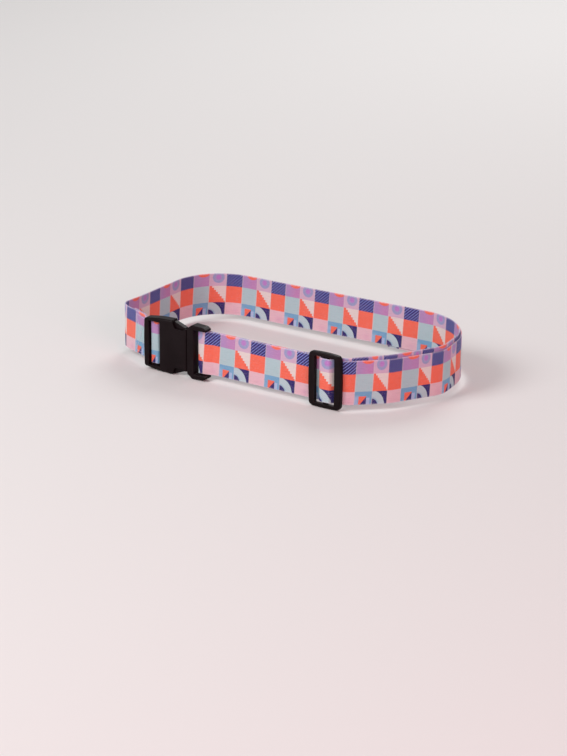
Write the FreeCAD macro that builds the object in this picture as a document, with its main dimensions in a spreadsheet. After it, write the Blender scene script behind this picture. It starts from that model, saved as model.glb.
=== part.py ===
"""Luggage strap: printed webbing round a cabin case, with a side release buckle
and a sliding adjuster.

Millimetres, +Z up. X runs along the front of the case, -Y is the front, and the
origin is the middle of the loop, half way up the webbing. The webbing is one
long band: sewn round the bar of the female half, it goes round the case, turns
over the bar of the male half, comes back through the slider and lies over itself
as the tail.
"""
import FreeCAD
import Part
import math
import os

Vector = FreeCAD.Vector
document = FreeCAD.newDocument("luggage_strap")

# ---------------------------------------------------------------- dimensions
sheet = document.addObject("Spreadsheet::Sheet", "sizes")
SIZES = {
    "webbing_width": 50.0,
    "webbing_thickness": 1.4,
    "layer_gap": 0.3,
    "front_plane": -97.0,
    "back_plane": 96.0,
    "buckle_depth": 10.4,
    "female_back": 2.0,
    "male_back": 1.6,
    "bar_depth": 3.0,
    "cavity_depth": 6.6,
    "cavity_length": 33.0,
    "prong_depth": 5.6,
    "arm_root_radius": 2.2,
    "root_fit": 0.06,
    "slider_depth": 5.0,
    "slider_bar_depth": 2.6,
    "slider_width": 42.0,
    "slider_height": 63.0,
    "slider_window_width": 25.5,
    "slider_window_height": 54.0,
    "thread_radius": 0.25,
}
for row, (alias, value) in enumerate(SIZES.items(), start=1):
    sheet.set("A%d" % row, alias.replace("_", " "))
    sheet.set("B%d" % row, str(value))
    sheet.setAlias("B%d" % row, alias)
document.recompute()

WIDTH = SIZES["webbing_width"]
THICK = SIZES["webbing_thickness"]
GAP = SIZES["layer_gap"]
PITCH = THICK + GAP
BAR_DEPTH = SIZES["bar_depth"]
FRONT = SIZES["front_plane"]
BACK = SIZES["back_plane"]

# Stations along the front, from the buckle on the left to the slider.
MOUTH = -77.0
MALE_FACE = -76.4
MALE_SLOT = -67.6
MALE_TIP = -51.0
ARM_PIVOT = (-74.2, 17.0)
MALE_CUT = -38.0
FIXED_CUT = 27.0
SLIDER_MIDDLE = 102.0
LOOP_CUT_LEFT = 91.0
LOOP_CUT_RIGHT = 113.0
TAIL_CUT = 118.2
CUT_GAP = 0.05


# ---------------------------------------------------------------- helpers
def plane_of(body, role):
    """The origin plane of a body with this role."""
    for feature in body.Origin.OriginFeatures:
        if feature.Role == role:
            return feature
    raise ValueError(role)


def sketch_on(body, name, role, offset, geometry):
    """A sketch parallel to an origin plane, moved along the plane's normal."""
    sketch = body.newObject("Sketcher::SketchObject", name)
    sketch.AttachmentSupport = [(plane_of(body, role), "")]
    sketch.MapMode = "FlatFace"
    if isinstance(offset, str):
        sketch.setExpression("AttachmentOffset.Base.z", offset)
    else:
        sketch.AttachmentOffset = FreeCAD.Placement(Vector(0, 0, offset), FreeCAD.Rotation())
    for item in geometry:
        sketch.addGeometry(item, False)
    return sketch


def pad(body, name, sketch, length):
    """Pad a sketch along its normal by a length or an expression."""
    feature = body.newObject("PartDesign::Pad", name)
    feature.Profile = sketch
    if isinstance(length, str):
        feature.setExpression("Length", length)
    else:
        feature.Length = length
    document.recompute()
    return feature


def pocket(body, name, sketch, length):
    """Cut a sketch against its normal, and make sure that it cut something."""
    before = body.Shape.Volume
    feature = body.newObject("PartDesign::Pocket", name)
    feature.Profile = sketch
    if isinstance(length, str):
        feature.setExpression("Length", length)
    else:
        feature.Length = length
    document.recompute()
    if feature.Shape.Volume > before - 0.5:
        raise ValueError("nothing cut by " + name)
    return feature


def fillet(body, name, base, chosen, radius):
    """Round the edges that the chooser accepts."""
    names = []
    for number, edge in enumerate(base.Shape.Edges, start=1):
        if chosen(edge):
            names.append("Edge%d" % number)
    if not names:
        raise ValueError("no edge for " + name)
    feature = body.newObject("PartDesign::Fillet", name)
    feature.Base = (base, names)
    if isinstance(radius, str):
        feature.setExpression("Radius", radius)
    else:
        feature.Radius = radius
    document.recompute()
    return feature


def line(start, end):
    """A straight piece of outline between two (a, b) points."""
    return Part.LineSegment(Vector(start[0], start[1], 0), Vector(end[0], end[1], 0))


def arc(start, middle, end):
    """An arc of outline through three (a, b) points."""
    points = [Vector(p[0], p[1], 0) for p in (start, middle, end)]
    return Part.Arc(points[0], points[1], points[2])


def rectangle(left, right, low, high):
    """A closed rectangle from its four limits."""
    corners = [(left, low), (right, low), (right, high), (left, high)]
    return [line(corners[i], corners[(i + 1) % 4]) for i in range(4)]


def rounded_loop(points, radii):
    """A closed outline through the points, each corner rounded by its radius."""
    count = len(points)
    closed = [points[-1]] + list(points) + [points[0]]
    cuts = []
    pieces = []
    for i in range(count):
        corner = corner_arc(closed[i], closed[i + 1], closed[i + 2], radii[i])
        cuts.append(corner)
    for i in range(count):
        if cuts[i][1] is not None:
            pieces.append(arc(cuts[i][0], cuts[i][1], cuts[i][2]))
        following = cuts[(i + 1) % count]
        if math.dist(cuts[i][2], following[0]) > 1e-6:
            pieces.append(line(cuts[i][2], following[0]))
    return pieces


def corner_arc(before, corner, after, radius):
    """Start, middle and end of the arc that rounds one corner."""
    ux, uy = unit(before, corner)
    vx, vy = unit(corner, after)
    turn = math.atan2(ux * vy - uy * vx, ux * vx + uy * vy)
    if radius <= 0 or abs(turn) < 1e-6:
        return corner, None, corner
    reach = radius * math.tan(abs(turn) / 2)
    start = (corner[0] - ux * reach, corner[1] - uy * reach)
    end = (corner[0] + vx * reach, corner[1] + vy * reach)
    bx, by = unit((0, 0), (vx - ux, vy - uy))
    inside = radius / math.cos(turn / 2) - radius
    return start, (corner[0] + bx * inside, corner[1] + by * inside), end


def unit(start, end):
    """The direction from one point to another."""
    dx, dy = end[0] - start[0], end[1] - start[1]
    length = math.hypot(dx, dy)
    return dx / length, dy / length


def shifted(points, radii, shift):
    """The same path moved sideways; a positive shift is to the left of travel."""
    moved = []
    new_radii = list(radii)
    for i, point in enumerate(points):
        if i == 0 or i == len(points) - 1:
            ends = (points[0], points[1]) if i == 0 else (points[-2], points[-1])
            ux, uy = unit(ends[0], ends[1])
            moved.append((point[0] - uy * shift, point[1] + ux * shift))
            continue
        ux, uy = unit(points[i - 1], point)
        vx, vy = unit(point, points[i + 1])
        turn = math.atan2(ux * vy - uy * vx, ux * vx + uy * vy)
        nx, ny = -uy - vy, ux + vx
        scale = shift / (1 + ux * vx + uy * vy)
        moved.append((point[0] + nx * scale, point[1] + ny * scale))
        new_radii[i] = radii[i] - shift * math.copysign(1.0, turn)
    return moved, new_radii


def open_path(points, radii):
    """Lines and arcs from the first point to the last."""
    pieces = []
    here = points[0]
    for i in range(1, len(points) - 1):
        start, middle, end = corner_arc(points[i - 1], points[i], points[i + 1], radii[i])
        if math.dist(here, start) > 1e-6:
            pieces.append(line(here, start))
        if middle is not None:
            pieces.append(arc(start, middle, end))
        here = end
    if math.dist(here, points[-1]) > 1e-6:
        pieces.append(line(here, points[-1]))
    return pieces


def webbing(label, points, radii):
    """A band of webbing, given the middle line of its thickness seen from above."""
    body = document.addObject("PartDesign::Body", label)
    body.Label = label
    left, left_radii = shifted(points, radii, THICK / 2)
    right, right_radii = shifted(points, radii, -THICK / 2)
    outline = open_path(left, left_radii) + open_path(right, right_radii)
    outline += [line(left[0], right[0]), line(left[-1], right[-1])]
    sketch = sketch_on(body, label + "_edge", "XY_Plane", "-sizes.webbing_width / 2", outline)
    pad(body, label + "_band", sketch, "sizes.webbing_width")
    return body


def at_depth(points):
    """Turn (x, depth behind the front plane) into (x, y)."""
    return [(x, FRONT + depth) for x, depth in points]


def on_plane(edge, y):
    """True for an edge that lies in the plane at this Y."""
    return all(abs(vertex.Y - y) < 1e-4 for vertex in edge.Vertexes)


def mirrored(points):
    """The same outline points below the middle line, in the opposite order."""
    return [(x, -z) for x, z in reversed(points)]


# ---------------------------------------------------------------- plan of the loop
# The outer face of the tail, from the flat front round the right side to the back.
# The front shoulder of the case is bridged at 42 degrees, the side carry handle
# pushes the strap out to its widest point, and the back corners are large.
def step(start, angle, run):
    """The point reached from start at an angle after a run along X."""
    return start[0] + run, start[1] + run * math.tan(math.radians(angle))


SHOULDER = (125.0, FRONT)
BRIDGE = step(SHOULDER, 42.0, 36.0)
HANDLE = step(BRIDGE, 60.0, 33.5)
REAR_RIGHT = (HANDLE[0] - (BACK - HANDLE[1]) * math.tan(math.radians(9.0)), BACK)
OUTER_POINTS = [SHOULDER, BRIDGE, HANDLE, REAR_RIGHT]
OUTER_RADII = [16.0, 35.0, 40.0, 80.0]

# ---------------------------------------------------------------- girth webbing
# It starts with the sewn return under the left run, turns round the bar of the
# female half, goes round the left side, the back and the right side, and ends at
# the fixed cut in the middle of the front, behind the outer run.
main_depth = THICK / 2 + PITCH
left_depth = -1.5
return_depth = left_depth + PITCH
loop_depth = return_depth - 5.0
slope = math.radians(25.0)
return_corner = (-134.0 + PITCH * math.tan(slope / 2), return_depth)
return_end = (return_corner[0] - 32.0 * math.cos(slope), return_corner[1] + 32.0 * math.sin(slope))
left_side = -190.4 + THICK / 2
left_shoulder = (left_side, left_depth + (-134.0 - left_side) * math.tan(slope))
girth_points = at_depth([
    return_end,
    return_corner,
    (-117.0, return_depth),
    (-117.0, loop_depth),
    (-127.45, loop_depth),
    (-127.45, left_depth),
    (-134.0, left_depth),
    left_shoulder,
])
girth_radii = [0, 14.0 - PITCH, 2.5, 2.5, 1.5, 1.5, 14.0, 21.0]
inner_line = [(FIXED_CUT, FRONT)] + OUTER_POINTS + [(0.0, BACK)]
inner_line, inner_radii = shifted(inner_line, [0] + OUTER_RADII + [0], main_depth)
rear_left = (left_side, inner_line[-1][1])
girth_points += [rear_left] + inner_line[-2::-1]
girth_radii += [59.3] + inner_radii[-2::-1]
webbing("girth_webbing", girth_points, girth_radii)

# ---------------------------------------------------------------- moving front webbing
bar_turn = -2.6
male_loop = at_depth([
    (MALE_CUT, main_depth),
    (-65.4, main_depth),
    (-65.4, bar_turn),
    (-56.0, bar_turn),
    (-47.0, THICK / 2),
    (MALE_CUT, THICK / 2),
])
webbing("male_loop_webbing", male_loop, [0, 2.5, 2.5, 12.0, 12.0, 0])
webbing("inner_run_webbing", at_depth([
    (FIXED_CUT - CUT_GAP, main_depth),
    (MALE_CUT + CUT_GAP, main_depth),
]), [0, 0])
webbing("outer_run_webbing_buckle_side", at_depth([
    (MALE_CUT + CUT_GAP, THICK / 2),
    (FIXED_CUT - CUT_GAP, THICK / 2),
]), [0, 0])
webbing("outer_run_webbing_slider_side", at_depth([
    (FIXED_CUT, THICK / 2),
    (LOOP_CUT_LEFT - CUT_GAP, THICK / 2),
]), [0, 0])
hump = THICK / 2 - 4.6
webbing("slider_loop_webbing", at_depth([
    (LOOP_CUT_LEFT, THICK / 2),
    (SLIDER_MIDDLE - 10.0, THICK / 2),
    (SLIDER_MIDDLE - 5.4, hump),
    (SLIDER_MIDDLE + 5.4, hump),
    (SLIDER_MIDDLE + 10.0, THICK / 2),
    (LOOP_CUT_RIGHT, THICK / 2),
]), [0, 2.0, 2.2, 2.2, 2.0, 0])
webbing("tail_lead_webbing", at_depth([
    (LOOP_CUT_RIGHT + CUT_GAP, THICK / 2),
    (TAIL_CUT - CUT_GAP, THICK / 2),
]), [0, 0])

# ---------------------------------------------------------------- tail
# Round the right side over the girth webbing, with a folded hem on the back.
tail_line = [(TAIL_CUT, FRONT)] + OUTER_POINTS + [(60.0, BACK)]
tail_line, tail_radii = shifted(tail_line, [0] + OUTER_RADII + [0], THICK / 2)
hem_y = tail_line[-1][1] + PITCH
tail_line += [(60.0, hem_y), (82.0, hem_y)]
tail_radii[-1] = PITCH / 2
tail_radii += [PITCH / 2, 0]
webbing("tail_webbing", tail_line, tail_radii)

# ---------------------------------------------------------------- female half
shell = document.addObject("PartDesign::Body", "female_shell")
shell.Label = "female_shell"
female_front = "-(sizes.front_plane - 9)"
upper_edge = [(-135.0, 28.0), (-116.0, 30.7), (-97.0, 31.4), (-77.0, 25.6)]
upper_round = [3.2, 120.0, 2.5, 2.4]
outline = rounded_loop(
    [(-135.9, 0.0)] + upper_edge + mirrored(upper_edge),
    [400.0] + upper_round + upper_round[::-1])
back_offset = "-(sizes.front_plane + sizes.female_back)"
sketch = sketch_on(shell, "female_outline", "XZ_Plane", back_offset, outline)
block = pad(shell, "female_block", sketch, "sizes.female_back + 9")
front_y = FRONT - 9.0
back_y = FRONT + SIZES["female_back"]
fillet(shell, "female_front_round", block, lambda e: on_plane(e, front_y), 2.2)

# Webbing window through the shell, with the bar across it set back from the front.
window = rectangle(-128.6, -113.0, -26.0, 26.0)
sketch = sketch_on(shell, "webbing_window", "XZ_Plane", -(front_y - 1), window)
pocket(shell, "webbing_window_cut", sketch, 20.0)
# The outer bar is thin, so that both layers pass behind it.
under_bar = rectangle(-140.0, -128.0, -26.0, 26.0)
sketch = sketch_on(shell, "under_outer_bar", "XZ_Plane", -(FRONT - 2.55), under_bar)
pocket(shell, "under_outer_bar_cut", sketch, 10.0)
# Side windows for the latch buttons. Both faces are scooped out for the fingers, as
# far as the low rim of the mouth. Between the faces each window follows its button,
# with a slanting wall that the button swings past.
scoop = [
    (-97.2, 40.0), (-97.2, 31.5), (-92.6, 22.6), (-82.4, 22.0),
    (-79.4, 24.4), (-70.0, 25.0), (-70.0, 40.0),
]
scoop_round = [0, 1.5, 3.0, 2.0, 1.0, 0, 0]
side_window = [(-99.05, 21.6), (-79.8, 21.6), (-79.8, 40.0), (-92.5, 40.0)]
for side, label in ((1, "upper"), (-1, "lower")):
    notch = rounded_loop(scoop, scoop_round)
    opening = rounded_loop(side_window, [0, 0, 0, 0])
    if side < 0:
        notch = rounded_loop(mirrored(scoop), scoop_round[::-1])
        opening = rounded_loop(mirrored(side_window), [0, 0, 0, 0])
    sketch = sketch_on(shell, label + "_finger_scoop", "XZ_Plane", -(front_y - 1), notch)
    pocket(shell, label + "_finger_scoop_cut", sketch, 20.0)
    sketch = sketch_on(shell, label + "_side_window", "XZ_Plane", -(FRONT - 6.8), opening)
    pocket(shell, label + "_side_window_cut", sketch, "sizes.cavity_depth")
# The mouth for the prongs.
mouth = rectangle(FRONT - 6.8, FRONT - 0.2, -22.6, 22.6)
sketch = sketch_on(shell, "mouth_opening", "YZ_Plane", MOUTH + 1, mouth)
pocket(shell, "mouth_cavity", sketch, "sizes.cavity_length + 1")
# The bar that the webbing is sewn round.
sewing_bar_back = FRONT - 0.8
bar = rounded_loop([
    (-126.3, sewing_bar_back - BAR_DEPTH),
    (-118.0, sewing_bar_back - BAR_DEPTH),
    (-118.0, sewing_bar_back),
    (-126.3, sewing_bar_back),
], [1.4, 1.4, 1.4, 1.4])
sketch = sketch_on(shell, "sewing_bar_section", "XY_Plane", -27.0, bar)
pad(shell, "sewing_bar", sketch, 54.0)

# ---------------------------------------------------------------- male half
base = document.addObject("PartDesign::Body", "male_base")
base.Label = "male_base"
male_front = FRONT - 8.8
upper_edge = [
    (MALE_SLOT, 25.9), (MALE_TIP, 25.9), (MALE_TIP, 28.4),
    (-54.6, 30.6), (-69.6, 31.3), (MALE_FACE, 26.4),
]
upper_round = [0.8, 0.6, 1.0, 3.0, 4.0, 2.0]
outline = rounded_loop(upper_edge + mirrored(upper_edge), upper_round + upper_round[::-1])
back_offset = "-(sizes.front_plane + sizes.male_back)"
sketch = sketch_on(base, "male_outline", "XZ_Plane", back_offset, outline)
block = pad(base, "male_block", sketch, "sizes.buckle_depth")
fillet(base, "male_front_round", block, lambda e: on_plane(e, male_front), 0.8)
# End bar: the webbing comes up through the slot and turns over it.
end_bar_back = FRONT + 1.4
bar = rounded_loop([
    (-64.4, end_bar_back - BAR_DEPTH),
    (-57.5, end_bar_back - BAR_DEPTH),
    (-57.5, end_bar_back),
    (-64.4, end_bar_back),
], [1.4, 0.8, 0.8, 1.4])
sketch = sketch_on(base, "end_bar_section", "XY_Plane", -26.5, bar)
pad(base, "end_bar", sketch, 53.0)
# Middle guide tongue.
tongue = rounded_loop([
    (-109.0, -3.2),
    (-109.0, 3.2),
    (-75.0, 3.2),
    (-75.0, -3.2),
], [2.0, 2.0, 0, 0])
sketch = sketch_on(base, "tongue_outline", "XZ_Plane", -(FRONT - 0.7), tongue)
pad(base, "guide_tongue", sketch, "sizes.prong_depth")
# Round sockets for the roots of the two latch arms, flared so that the arms can swing.
for side, label in ((1, "upper"), (-1, "lower")):
    middle = side * ARM_PIVOT[1]
    radius = SIZES["arm_root_radius"] + SIZES["root_fit"]
    flare = radius + 0.7
    socket = [
        arc((ARM_PIVOT[0], middle - radius), (ARM_PIVOT[0] + radius, middle),
            (ARM_PIVOT[0], middle + radius)),
        line((ARM_PIVOT[0], middle + radius), (-78.0, middle + flare)),
        line((-78.0, middle + flare), (-78.0, middle - flare)),
        line((-78.0, middle - flare), (ARM_PIVOT[0], middle - radius)),
    ]
    sketch = sketch_on(base, label + "_arm_socket", "XZ_Plane", -(FRONT - 6.6), socket)
    pocket(base, label + "_arm_socket_cut", sketch, 6.2)

# ---------------------------------------------------------------- latch arms
# The outer face of each button falls from the shell's side to the rim of the mouth.
BUTTON_CREST = (-94.6, 30.6)
BUTTON_END = -80.2
BUTTON_FALL = 0.382


def button_height(x):
    """Height of the straight outer face of the upper button at this X."""
    return BUTTON_CREST[1] - (x - BUTTON_CREST[0]) * BUTTON_FALL


for side, label in ((1, "upper_latch_arm"), (-1, "lower_latch_arm")):
    arm = document.addObject("PartDesign::Body", label)
    arm.Label = label
    root = SIZES["arm_root_radius"]
    path = [
        (-88.0, 15.4),
        (-104.6, 15.2),
        (-106.6, 16.4),
        (-105.8, 18.2),
        (-100.2, 21.4),
        (-98.2, 21.9),
        BUTTON_CREST,
        (BUTTON_END, button_height(BUTTON_END)),
        (BUTTON_END, 22.0),
        (-84.6, 18.4),
    ]
    bend = [0, 20.0, 1.0, 0.8, 1.5, 2.0, 0.6, 1.0, 0.5, 0.5, 1.2, 0]
    if side < 0:
        path = [(x, -z) for x, z in path]
    root_x = ARM_PIVOT[0] - math.sqrt(root ** 2 - 1.5 ** 2)
    inner_end = (root_x, side * (ARM_PIVOT[1] - 1.5))
    outer_end = (root_x, side * (ARM_PIVOT[1] + 1.5))
    pieces = open_path([inner_end] + path + [outer_end], bend)
    pieces.append(arc(inner_end, (ARM_PIVOT[0] + root, side * ARM_PIVOT[1]), outer_end))
    sketch = sketch_on(arm, label + "_outline", "XZ_Plane", -(FRONT - 0.7), pieces)
    pad(arm, label + "_block", sketch, "sizes.prong_depth")
    # Grip ribs on the sloping button face.
    grooves = []
    for number in range(7):
        x = -93.0 + number * 1.9
        z = button_height(x)
        corners = [(x - 0.45, side * (z + 1.0)), (x + 0.45, side * (z + 1.0)), (x, side * (z - 0.55))]
        grooves += [line(corners[i], corners[(i + 1) % 3]) for i in range(3)]
    sketch = sketch_on(arm, label + "_grip", "XZ_Plane", -(FRONT - 10.0), grooves)
    pocket(arm, label + "_grip_cut", sketch, 12.0)

# ---------------------------------------------------------------- slider
slider = document.addObject("PartDesign::Body", "slider_frame")
slider.Label = "slider_frame"
half_width = SIZES["slider_width"] / 2
half_height = SIZES["slider_height"] / 2
left = SLIDER_MIDDLE - half_width
right = SLIDER_MIDDLE + half_width
outline = rounded_loop([
    (left - 0.1, 0.0),
    (left + 0.9, half_height - 0.9),
    (SLIDER_MIDDLE, half_height + 0.3),
    (right - 0.9, half_height - 0.9),
    (right + 0.1, 0.0),
    (right - 0.9, -half_height + 0.9),
    (SLIDER_MIDDLE, -half_height - 0.3),
    (left + 0.9, -half_height + 0.9),
], [400.0, 5.2, 180.0, 5.2, 400.0, 5.2, 180.0, 5.2])
sketch = sketch_on(slider, "slider_outline", "XZ_Plane", -(FRONT - 0.3), outline)
block = pad(slider, "slider_block", sketch, "sizes.slider_depth")
slider_front = FRONT - 0.3 - SIZES["slider_depth"]
fillet(slider, "slider_front_round", block, lambda e: on_plane(e, slider_front), 1.5)
half_window = SIZES["slider_window_width"] / 2
half_open = SIZES["slider_window_height"] / 2
window = rounded_loop([
    (SLIDER_MIDDLE - half_window, -half_open),
    (SLIDER_MIDDLE + half_window, -half_open),
    (SLIDER_MIDDLE + half_window, half_open),
    (SLIDER_MIDDLE - half_window, half_open),
], [1.2, 1.2, 1.2, 1.2])
sketch = sketch_on(slider, "slider_window", "XZ_Plane", -(slider_front - 1), window)
pocket(slider, "slider_window_cut", sketch, 12.0)
bar_front = FRONT - 0.3 - SIZES["slider_bar_depth"]
bar = rounded_loop([
    (SLIDER_MIDDLE - 3.3, bar_front),
    (SLIDER_MIDDLE + 3.3, bar_front),
    (SLIDER_MIDDLE + 3.3, FRONT - 0.3),
    (SLIDER_MIDDLE - 3.3, FRONT - 0.3),
], [0.9, 0.9, 0.5, 0.5])
sketch = sketch_on(slider, "middle_bar_section", "XY_Plane", -(half_open + 0.6), bar)
pad(slider, "middle_bar", sketch, 2 * half_open + 1.2)


# ---------------------------------------------------------------- stitching
def thread(label, points, joins):
    """Lines of thread between numbered points, as one solid."""
    rods = []
    for number, (first, second) in enumerate(joins):
        rod = document.addObject("Part::Cylinder", "%s_%d" % (label, number))
        rod.setExpression("Radius", "sizes.thread_radius")
        run = points[second] - points[first]
        rod.Height = run.Length
        rod.Placement = FreeCAD.Placement(points[first], FreeCAD.Rotation(Vector(0, 0, 1), run))
        rods.append(rod)
    for number, point in enumerate(points):
        knot = document.addObject("Part::Sphere", "%s_knot_%d" % (label, number))
        knot.setExpression("Radius", "sizes.thread_radius")
        knot.Placement = FreeCAD.Placement(point, FreeCAD.Rotation())
        rods.append(knot)
    joined = document.addObject("Part::MultiFuse", label)
    joined.Label = label
    joined.Shapes = rods
    return joined


proud = SIZES["thread_radius"] + 0.01
box_joins = [(0, 1), (1, 2), (2, 3), (3, 0), (0, 2), (1, 3)]
# Box stitch through the left run and the return behind it.
along = Vector(-math.cos(slope), math.sin(slope), 0)
outward = Vector(-math.sin(slope), -math.cos(slope), 0)
corner_point = Vector(-134.0, FRONT + left_depth, 0)
surface = corner_point + outward * (THICK / 2 + proud)
points = []
for run, z in ((6.0, -21.0), (26.0, -21.0), (26.0, 21.0), (6.0, 21.0)):
    points.append(surface + along * run + Vector(0, 0, z))
thread("sewn_loop_stitching", points, box_joins)
# Two lines across the folded hem, joined at their ends.
hem_face = hem_y + THICK / 2 + proud
points = [Vector(x, hem_face, z) for x, z in ((63.0, -22.0), (78.0, -22.0), (78.0, 22.0), (63.0, 22.0))]
thread("tail_hem_stitching", points, box_joins[:4])

# ---------------------------------------------------------------- check and write
document.recompute()
NODES = [
    "female_shell",
    "male_base",
    "upper_latch_arm",
    "lower_latch_arm",
    "slider_frame",
    "girth_webbing",
    "male_loop_webbing",
    "inner_run_webbing",
    "outer_run_webbing_buckle_side",
    "outer_run_webbing_slider_side",
    "slider_loop_webbing",
    "tail_lead_webbing",
    "tail_webbing",
    "sewn_loop_stitching",
    "tail_hem_stitching",
]
for item in document.Objects:
    if "Invalid" in item.State or "Error" in item.State:
        raise RuntimeError("failed object: " + item.Name)
os.makedirs("parts", exist_ok=True)
for name in NODES:
    found = document.getObjectsByLabel(name)
    if len(found) != 1:
        raise RuntimeError("label used %d times: %s" % (len(found), name))
    shape = found[0].Shape
    if shape.isNull() or not shape.isValid() or len(shape.Solids) != 1:
        raise RuntimeError("bad shape: " + name)
    shape.exportStep("parts/" + name + ".step")
    box = shape.BoundBox
    print("%-32s volume %9.1f  X %7.1f %7.1f  Y %7.1f %7.1f  Z %6.1f %6.1f" % (
        name, shape.Volume, box.XMin, box.XMax, box.YMin, box.YMax, box.ZMin, box.ZMax))
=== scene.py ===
"""A printed luggage strap on a pale studio floor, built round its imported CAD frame.

The moulded plastic pieces are the CAD nodes themselves. The webbing and its stitching are
modelled here: woven strips with a selvedge and a print, and one small piece of thread a stitch.
Routes and print positions are in millimetres, in the plan view of the frame.
"""

import math

import bpy
from mathutils import Matrix, Vector, noise


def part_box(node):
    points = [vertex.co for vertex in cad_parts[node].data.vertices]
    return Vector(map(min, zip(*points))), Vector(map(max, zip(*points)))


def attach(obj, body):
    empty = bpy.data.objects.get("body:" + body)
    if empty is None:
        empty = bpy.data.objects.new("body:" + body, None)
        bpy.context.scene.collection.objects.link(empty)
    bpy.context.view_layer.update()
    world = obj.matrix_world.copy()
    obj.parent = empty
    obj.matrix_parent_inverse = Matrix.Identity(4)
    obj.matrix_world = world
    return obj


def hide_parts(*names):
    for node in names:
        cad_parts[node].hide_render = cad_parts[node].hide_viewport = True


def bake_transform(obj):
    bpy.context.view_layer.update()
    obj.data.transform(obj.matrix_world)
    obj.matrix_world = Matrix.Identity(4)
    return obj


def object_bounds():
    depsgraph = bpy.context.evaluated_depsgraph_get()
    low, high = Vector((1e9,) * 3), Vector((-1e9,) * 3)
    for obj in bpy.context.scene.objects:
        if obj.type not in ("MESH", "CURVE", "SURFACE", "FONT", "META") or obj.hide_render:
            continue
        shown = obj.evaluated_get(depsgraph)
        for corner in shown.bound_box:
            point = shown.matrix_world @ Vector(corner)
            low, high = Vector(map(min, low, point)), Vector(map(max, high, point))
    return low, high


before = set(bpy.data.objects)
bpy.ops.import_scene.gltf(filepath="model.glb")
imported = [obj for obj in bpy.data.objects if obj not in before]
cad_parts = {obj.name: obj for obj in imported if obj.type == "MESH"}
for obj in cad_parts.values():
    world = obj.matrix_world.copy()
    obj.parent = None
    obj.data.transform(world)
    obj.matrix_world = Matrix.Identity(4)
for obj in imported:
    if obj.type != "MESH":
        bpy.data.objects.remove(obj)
cad_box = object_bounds()

MM = 0.001

# ---------------------------------------------------------------- sizes read from the frame

slider_run_low, slider_run_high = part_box("outer_run_webbing_slider_side")
WIDTH = (slider_run_high.z - slider_run_low.z) / MM
THICK = (slider_run_high.y - slider_run_low.y) / MM
FRONT = slider_run_low.y / MM
PLY_GAP = 0.3
PITCH = THICK + PLY_GAP
OUTER = FRONT + THICK / 2
INNER = OUTER + PITCH

MALE_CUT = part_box("inner_run_webbing")[0].x / MM
FIXED_CUT = slider_run_low.x / MM
LOOP_CUT_LEFT = slider_run_high.x / MM
LOOP_CUT_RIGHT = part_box("tail_lead_webbing")[0].x / MM
TAIL_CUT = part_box("tail_lead_webbing")[1].x / MM
FLOOR_GAP = 0.3
FLOOR_LEVEL = cad_box[0].z - FLOOR_GAP * MM

# ---------------------------------------------------------------- routes, in plan

# The outermost surface of the band round the right side, and its corners' radii.
RIGHT_SIDE = [(125.0, FRONT), (161.0, -64.59), (194.5, -6.56), (178.26, 96.0)]
RIGHT_RADII = [16.0, 35.0, 40.0, 80.0]
# How far the inner ply stands above the tail at those corners, from the back to the front.
RIGHT_RISE = (3.0, 5.0, 4.5, 2.8)
RIGHT_RISE_FADES = 60.0

# The tail ends on the back, with a hem.
BACK_END = 60.0
HEM_LENGTH = 22.0
HEM_RADIUS = 0.85

# The band's middle line on the left side, and its corner radii there and behind it.
LEFT_SIDE = -189.7
SHOULDER_RADIUS = 21.0
BACK_LEFT_RADIUS = 59.3

# The left run leaves the buckle from SEWN_START, and slopes back to the left side.
LEFT_SLOPE = math.radians(25)
LEAVING_DEPTH = FRONT - 1.5
SEWN_START = Vector((-134.0, LEAVING_DEPTH))
SEWN_ALONG = Vector((-math.cos(LEFT_SLOPE), math.sin(LEFT_SLOPE)))
SEWN_OUT = Vector((-math.sin(LEFT_SLOPE), -math.cos(LEFT_SLOPE)))
# It climbs a little as it leaves the buckle: distance from SEWN_START, rise.
LEFT_RISE = [(2.5, 0.9), (11.0, 2.9), (50.0, 1.6), (95.0, 0.0)]

# Every list of radii below starts with a 0 for its route's first point.

# The girth's other end lies behind the left run, and turns round the female half's bar. The
# last radius is the one at SEWN_START.
FEMALE_TURN = [
    (-162.62, FRONT + 13.72),
    (-133.62, FRONT + 0.2),
    (-117.0, FRONT + 0.2),
    (-117.0, FRONT - 4.8),
    (-127.45, FRONT - 4.8),
    (-127.45, LEAVING_DEPTH),
]
FEMALE_TURN_RADII = [0.0, 12.3, 2.5, 2.5, 1.5, 1.5, 14.0]

# The turn round the male half's end bar, between its two cuts.
MALE_TURN = [(-65.4, INNER), (-65.4, FRONT - 2.6), (-56.0, FRONT - 2.6), (-47.0, OUTER)]
MALE_TURN_RADII = [0.0, 2.5, 2.5, 12.0, 12.0]

# The climb over the slider's middle bar, between its two cuts.
BAR_TOP = FRONT - 3.9
SLIDER_CLIMB = [(92.0, OUTER), (96.6, BAR_TOP), (107.4, BAR_TOP), (112.0, OUTER)]
SLIDER_CLIMB_RADII = [0.0, 2.0, 2.2, 2.2, 2.0]

# ---------------------------------------------------------------- webbing and stitches

GROOVE_INSET = 2.4      # the groove beside each selvedge
GROOVE_DEPTH = 0.12
RIPPLE = 0.25           # how far the front plies stand off where they ripple
RIPPLE_LENGTH = 26.0    # and roughly how long and how high a ripple is
RIPPLE_HEIGHT = 30.0
SWAY = 0.22             # how far the edges wander up and down
SWAY_LENGTH = 21.0
FADE = 12.0             # ripples and sway fade out over this length at a strip's two ends

STITCH = 3.0
THREAD_RADIUS = 0.28
STITCH_RISE = 0.34      # how high a stitch arches
STITCH_SUNK = 0.24      # how deep its ends go

# ---------------------------------------------------------------- print

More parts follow.
